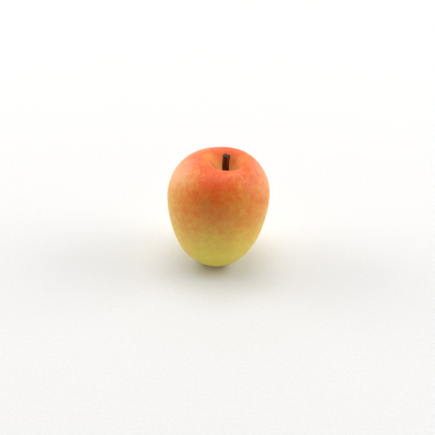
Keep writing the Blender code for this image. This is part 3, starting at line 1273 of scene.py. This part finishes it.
@dataclass
class Calyx:
    """The dried flower under the fruit: a cup, its sepals, its stamens and its styles."""

    form: FruitForm = field(default_factory=FruitForm)
    sepal_finish: DryFinish = field(default_factory=DryFinish)
    stamen_finish: DryFinish = DryFinish(
        "dry_stamen", (0.03, 0.016, 0.009), (0.13, 0.065, 0.028), (0.26, 0.17, 0.09)
    )
    seed: int = 11
    cup_radius: float = 0.0029
    cup_height: float = 0.0016
    cup_sides: int = 60
    cup_section: tuple[tuple[float, float], ...] = (
        (0.0, 0.45),
        (0.40, 0.40),
        (0.62, 0.18),
        (0.74, 0.0),
        (0.88, 0.05),
        (1.0, 0.35),
        (1.04, 1.0),
        (0.0, 1.0),
    )
    cup_lumps: Furrows = Furrows(2.4, 500.0, 2.2, 0.05)
    root_height: float = 0.0062
    sepal_count: int = 5
    sepal_cells: tuple[int, int] = (10, 18)
    turn_spread: float = 0.10
    shortest_sepal: float = 0.82
    least_curl: float = 0.94
    twist_spread: float = 0.35
    phase_spread: float = 50.0
    edge_waves: tuple[float, float] = (1.2, 5.0)
    tip_waves: float = 4.0
    sepal_length: float = 0.0046
    sepal_width: float = 0.0031
    sepal_tip_width: float = 0.0003
    sepal_thickness: float = 0.00028
    sepal_root_radius: float = 0.0021
    sepal_waist: float = 0.0008
    sepal_taper: float = 1.8
    sepal_outward: float = 0.0024
    sepal_outward_power: float = 2.5
    sepal_curl: float = 1.25
    sepal_trough: float = 0.30
    sepal_wave: float = 0.00022
    stamen_count: int = 14
    stamen_length: float = 0.0026
    stamen_radius: float = 0.00011
    stamen_ring: float = 0.00115
    stamen_spread: float = 0.12
    shortest_stamen: float = 0.62
    stamen_lean: Reach = Reach(-0.00035, 0.00045)
    threads_sunk: float = 0.8
    anther_radius: float = 0.00024
    anther_shape: tuple[float, float, float, float] = (1.0, 0.7, 1.5, 1.0)
    style_count: int = 5
    style_length: float = 0.0021
    style_radius: float = 0.00016
    style_lean: float = 0.0003
    shortest_style: float = 0.8
    style_spacing: float = 1.5
    thread_steps: int = 5
    thread_sides: int = 6
    thread_taper: float = 0.6

    def build(self, move: Vector) -> dict[str, bpy.types.Object]:
        """Models the calyx.

        Args:
            move: how far the turned fruit's axis is from the origin.

        Returns:
            Its pieces by name.
        """
        draw = random.Random(self.seed)
        pieces = {"cup": self.build_cup(move)}
        for index in range(self.sepal_count):
            pieces[f"sepal_{index}"] = self.build_sepal(index, draw, move)
        pieces["stamens"] = self.build_stamens(draw, move)
        return pieces

    def build_cup(self, move: Vector) -> bpy.types.Object:
        """The cup that the sepals and stamens grow from, rimmed and a little hollow.

        Args:
            move: how far the turned fruit's axis is from the origin.

        Returns:
            The cup's object.
        """
        bottom = self.root_height - self.cup_height
        profile = [(self.cup_radius * out, bottom + self.cup_height * up) for out, up in self.cup_section]
        shape = turned(profile, self.cup_sides)
        for vert in shape.verts:
            swelling = 1.0 + self.cup_lumps.at(math.atan2(vert.co.y, vert.co.x), vert.co.z)
            vert.co.x *= swelling
            vert.co.y *= swelling
            vert.co += move
        return new_piece("calyx_cup", shape, ("calyx",))

    def build_sepal(self, index: int, draw: random.Random, move: Vector) -> bpy.types.Object:
        """One sepal: a pointed, troughed blade with a waved edge, which hangs down and curls outwards.

        Args:
            index: which sepal.
            draw: where its own small differences come from.
            move: how far the turned fruit's axis is from the origin.

        Returns:
            The sepal's object.
        """
        turn = self.form.rib_turn + math.pi / self.sepal_count + math.tau * index / self.sepal_count
        turn += draw.uniform(-self.turn_spread, self.turn_spread)
        reach = draw.uniform(self.shortest_sepal, 1.0)
        curl = self.sepal_curl * draw.uniform(self.least_curl, 1.0)
        twist = draw.uniform(-self.twist_spread, self.twist_spread)
        phase = draw.uniform(0.0, self.phase_spread)
        shape = bmesh.new()
        wide, long = self.sepal_cells
        bmesh.ops.create_grid(shape, x_segments=wide, y_segments=long, size=0.5)
        outward = way(turn)
        sideways = UP.cross(outward)
        for vert in shape.verts:
            side = vert.co.x * 2.0
            share = vert.co.y + 0.5
            width = self.sepal_width - (self.sepal_width - self.sepal_tip_width) * share**self.sepal_taper
            half = width / 2
            out = self.sepal_root_radius - self.sepal_waist * math.sin(math.pi * share)
            out += self.sepal_outward * reach * share**self.sepal_outward_power
            out += self.sepal_trough * half * side * side * (1.0 - share)
            wave = noise.noise(Vector((side * self.edge_waves[0] + phase, share * self.edge_waves[1], 0.5)))
            out += self.sepal_wave * wave * abs(side) + twist * side * half * share
            height = self.root_height - self.cup_height / 2
            height -= self.sepal_length * reach * math.sin(curl * share)
            height += self.sepal_wave * noise.noise(Vector((share * self.tip_waves, side, phase))) * share
            vert.co = outward * out + sideways * half * side + UP * height + move
        bmesh.ops.recalc_face_normals(shape, faces=shape.faces)
        bmesh.ops.solidify(shape, geom=shape.faces[:], thickness=self.sepal_thickness)
        bmesh.ops.recalc_face_normals(shape, faces=shape.faces)
        piece = new_piece(f"sepal_{index + 1}", shape, ())
        finer = piece.modifiers.new("Finer", "SUBSURF")
        finer.levels = 1
        finer.render_levels = 1
        return piece

    def build_stamens(self, draw: random.Random, move: Vector) -> bpy.types.Object:
        """The withered stamens, each a bent thread with a shrunken anther, round a tuft of styles.

        Args:
            draw: where their own small differences come from.
            move: how far the turned fruit's axis is from the origin.

        Returns:
            The object that holds them all.
        """
        shape = bmesh.new()
        root = UP * (self.root_height - self.cup_height * self.threads_sunk) + move
        for index in range(self.stamen_count):
            angle = math.tau * index / self.stamen_count
            angle += draw.uniform(-self.stamen_spread, self.stamen_spread)
            length = self.stamen_length * draw.uniform(self.shortest_stamen, 1.0)
            lean = draw.uniform(*self.stamen_lean)
            foot = way(angle) * self.stamen_ring + root
            self.thread(shape, foot, angle, length, self.stamen_radius, lean)
            place = Matrix.Translation(foot + way(angle) * lean - UP * length)
            place = place @ Matrix.Rotation(angle, 4, "Z") @ Matrix.Diagonal(self.anther_shape)
            bmesh.ops.create_icosphere(shape, subdivisions=1, radius=self.anther_radius, matrix=place)
        for index in range(self.style_count):
            angle = math.tau * index / self.style_count
            foot = way(angle) * self.style_radius * self.style_spacing + root
            length = self.style_length * draw.uniform(self.shortest_style, 1.0)
            self.thread(shape, foot, angle, length, self.style_radius, self.style_lean)
        bmesh.ops.recalc_face_normals(shape, faces=shape.faces)
        return new_piece("stamens", shape, ())

    def thread(
        self, shape: bmesh.types.BMesh, root: Vector, angle: float, length: float, radius: float, lean: float
    ) -> None:
        """Adds a thin, bent, tapering thread that hangs from its root.

        Args:
            shape: the bmesh that it is added to.
            root: its upper end.
            angle: the way that it leans.
            length: how long it is.
            radius: how thick it is at its root.
            lean: how far its tip is off the vertical.
        """
        made = bmesh.ops.create_cone(
            shape,
            cap_ends=True,
            segments=self.thread_sides,
            radius1=radius * self.thread_taper,
            radius2=radius,
            depth=length,
        )
        verts = made["verts"]
        geom = verts + list({edge for vert in verts for edge in vert.link_edges})
        geom += list({face for vert in verts for face in vert.link_faces})
        for cut in range(1, self.thread_steps):
            level = UP * length * (cut / self.thread_steps - 0.5)
            geom = bmesh.ops.bisect_plane(shape, geom=geom, plane_co=level, plane_no=UP)["geom"]
        verts = [item for item in geom if isinstance(item, bmesh.types.BMVert)]
        for vert in verts:
            share = 0.5 - vert.co.z / length
            vert.co += way(angle) * lean * share**2 + root - UP * length / 2

    def dress(self, pieces: dict[str, bpy.types.Object]) -> None:
        """Gives the calyx its dried finishes.

        Args:
            pieces: the calyx's pieces by name.
        """
        sepal = self.sepal_finish.material()
        stamen = self.stamen_finish.material()
        for name, piece in pieces.items():
            piece.data.materials.append(stamen if name == "stamens" else sepal)


@dataclass(frozen=True)
class Lamp:
    """A soft, round light: which way it stands, in degrees, how wide and how bright it is."""

    name: str
    azimuth: float
    elevation: float
    size: float
    watts: float
    distance: float = 2.0

    def build(self, target: Vector) -> bpy.types.Object:
        """Makes the light, facing a point.

        Args:
            target: the point that it faces.

        Returns:
            The light's object.
        """
        light = bpy.data.lights.new(self.name, "AREA")
        light.shape = "DISK"
        light.size = self.size
        light.energy = self.watts
        lamp = linked(self.name, light)
        away = way(math.radians(self.azimuth), math.radians(self.elevation))
        lamp.location = target + away * self.distance
        lamp.rotation_euler = (-away).to_track_quat("-Z", "Y").to_euler()
        return lamp


@dataclass
class Studio:
    """The pale floor, the soft lamps and the pale glow along the horizon that the apple is seen in."""

    target: Vector = field(default_factory=lambda: Vector((0.0, 0.0, 0.03)))
    floor_size: float = 12.0
    floor_roughness: float = 0.9
    white: Colour = (1.0, 1.0, 1.0)
    floor_colour: Colour = (0.69, 0.685, 0.675)
    # Painted shadow: the darker yellow that the floor is painted near a point in front of the apple's foot.
    painted_shadow_colour: Colour = (0.68, 0.64, 0.50)
    paper: Grain = Grain(0.0016, 3.0, 0.7)
    paper_reach: Reach = Reach(0.3, 0.7)
    paper_shade: float = 0.94
    tooth: Grain = Grain(0.0012, 2.0, 0.6)
    tooth_depth: float = 0.0001
    tooth_strength: float = 0.3
    table_glow: float = 0.155
    # Painted shadow: the weaker glow, the point in front of the foot and the reach round it where the floor
    # is painted darker.
    painted_shadow_glow: float = 0.03
    painted_shadow_place: Vector = field(default_factory=lambda: Vector((-0.004, -0.014, 0.0)))
    painted_shadow_reach: Reach = Reach(0.004, 0.016)
    sweep_reach: Reach = Reach(0.8, 2.0)
    sweep_glow: float = 0.85
    sky_low: float = 0.85
    sky_high: float = 0.06
    sky_reach: Reach = Reach(0.04, 0.28)
    lamps: tuple[Lamp, ...] = (
        Lamp("right_low", 4.0, 24.0, 1.3, 19.0),
        Lamp("right_high", 28.0, 44.0, 2.2, 11.5),
        Lamp("left_low", 167.0, 24.0, 1.3, 16.0),
        Lamp("left_high", 146.0, 43.0, 2.2, 12.5),
        Lamp("above", 90.0, 80.0, 1.3, 18.5),
        Lamp("behind", 90.0, 35.0, 1.3, 4.0),
    )

    def build_floor(self) -> bpy.types.Object:
        """Lays the floor: paper on a light table, with a painted shadow in front of the apple's foot, where
        it glows less and is painted yellower, and brightest far out.

        Returns:
            The floor's object.
        """
        shape = bmesh.new()
        bmesh.ops.create_grid(shape, x_segments=8, y_segments=8, size=self.floor_size / 2)
        mesh = bpy.data.meshes.new("floor")
        shape.to_mesh(mesh)
        shape.free()
        floor = linked("floor", mesh)
        sheet = Sheet("pale_paper")
        tone = sheet.rise(sheet.grain(sheet.place, self.paper), *self.paper_reach)
        darker = tuple(value * self.paper_shade for value in self.floor_colour)
        # Painted shadow: near a point in front of the foot the floor glows less and is painted a darker
        # yellow.
        near = sheet.distance(self.painted_shadow_place)
        outside_painted_shadow = sheet.rise(near, *self.painted_shadow_reach)
        glow = sheet.rise(near, *self.painted_shadow_reach, self.painted_shadow_glow, self.table_glow)
        away = sheet.distance(Vector((0.0, 0.0, 0.0)))
        sheet.surface(
            Base_Color=sheet.blend(outside_painted_shadow, self.painted_shadow_colour, sheet.blend(tone, darker, self.floor_colour)),
            Roughness=self.floor_roughness,
            Normal=sheet.relief(sheet.grain(sheet.place, self.tooth), self.tooth_depth, self.tooth_strength),
            Emission_Color=self.white,
            Emission_Strength=sheet.rise(away, *self.sweep_reach, glow, self.sweep_glow),
        )
        mesh.materials.append(sheet.material)
        return floor

    def build_sky(self) -> bpy.types.World:
        """Makes the sky: dim overhead, and pale along the horizon.

        Returns:
            The world that holds it.
        """
        world = bpy.data.worlds.new("soft_sky")
        world.use_nodes = True
        nodes, links = world.node_tree.nodes, world.node_tree.links
        direction = nodes.new("ShaderNodeTexCoord")
        parts = nodes.new("ShaderNodeSeparateXYZ")
        links.new(direction.outputs["Generated"], parts.inputs[0])
        fade = nodes.new("ShaderNodeMapRange")
        fade.interpolation_type = "SMOOTHSTEP"
        for socket, value in zip(fade.inputs[1:5], (*self.sky_reach, self.sky_low, self.sky_high)):
            socket.default_value = value
        links.new(parts.outputs["Z"], fade.inputs[0])
        links.new(fade.outputs[0], nodes["Background"].inputs["Strength"])
        nodes["Background"].inputs["Color"].default_value = (*self.white, 1.0)
        return world

    def build(self) -> None:
        """Sets the floor, the sky and the lamps."""
        self.build_floor()
        bpy.context.scene.world = self.build_sky()
        for lamp in self.lamps:
            lamp.build(self.target)
        bpy.context.scene.view_settings.view_transform = "Standard"


def main() -> None:
    """Builds and dresses the apple, then its studio."""
    logging.basicConfig(level=logging.INFO, format="%(name)s: %(message)s")
    eye = Eye()
    eye.build()
    fruit = Fruit()
    skin, move = fruit.build()
    fruit.dress(skin, eye)
    log.info("fruit built, %.2f mm off its turned axis", -1000.0 * move.x)
    stalk = Stalk()
    stalk.dress(stalk.build(move))
    log.info("stalk built")
    calyx = Calyx()
    calyx.dress(calyx.build(move))
    log.info("calyx built")
    Studio().build()
    log.info("studio set")


if __name__ == "__main__":
    main()
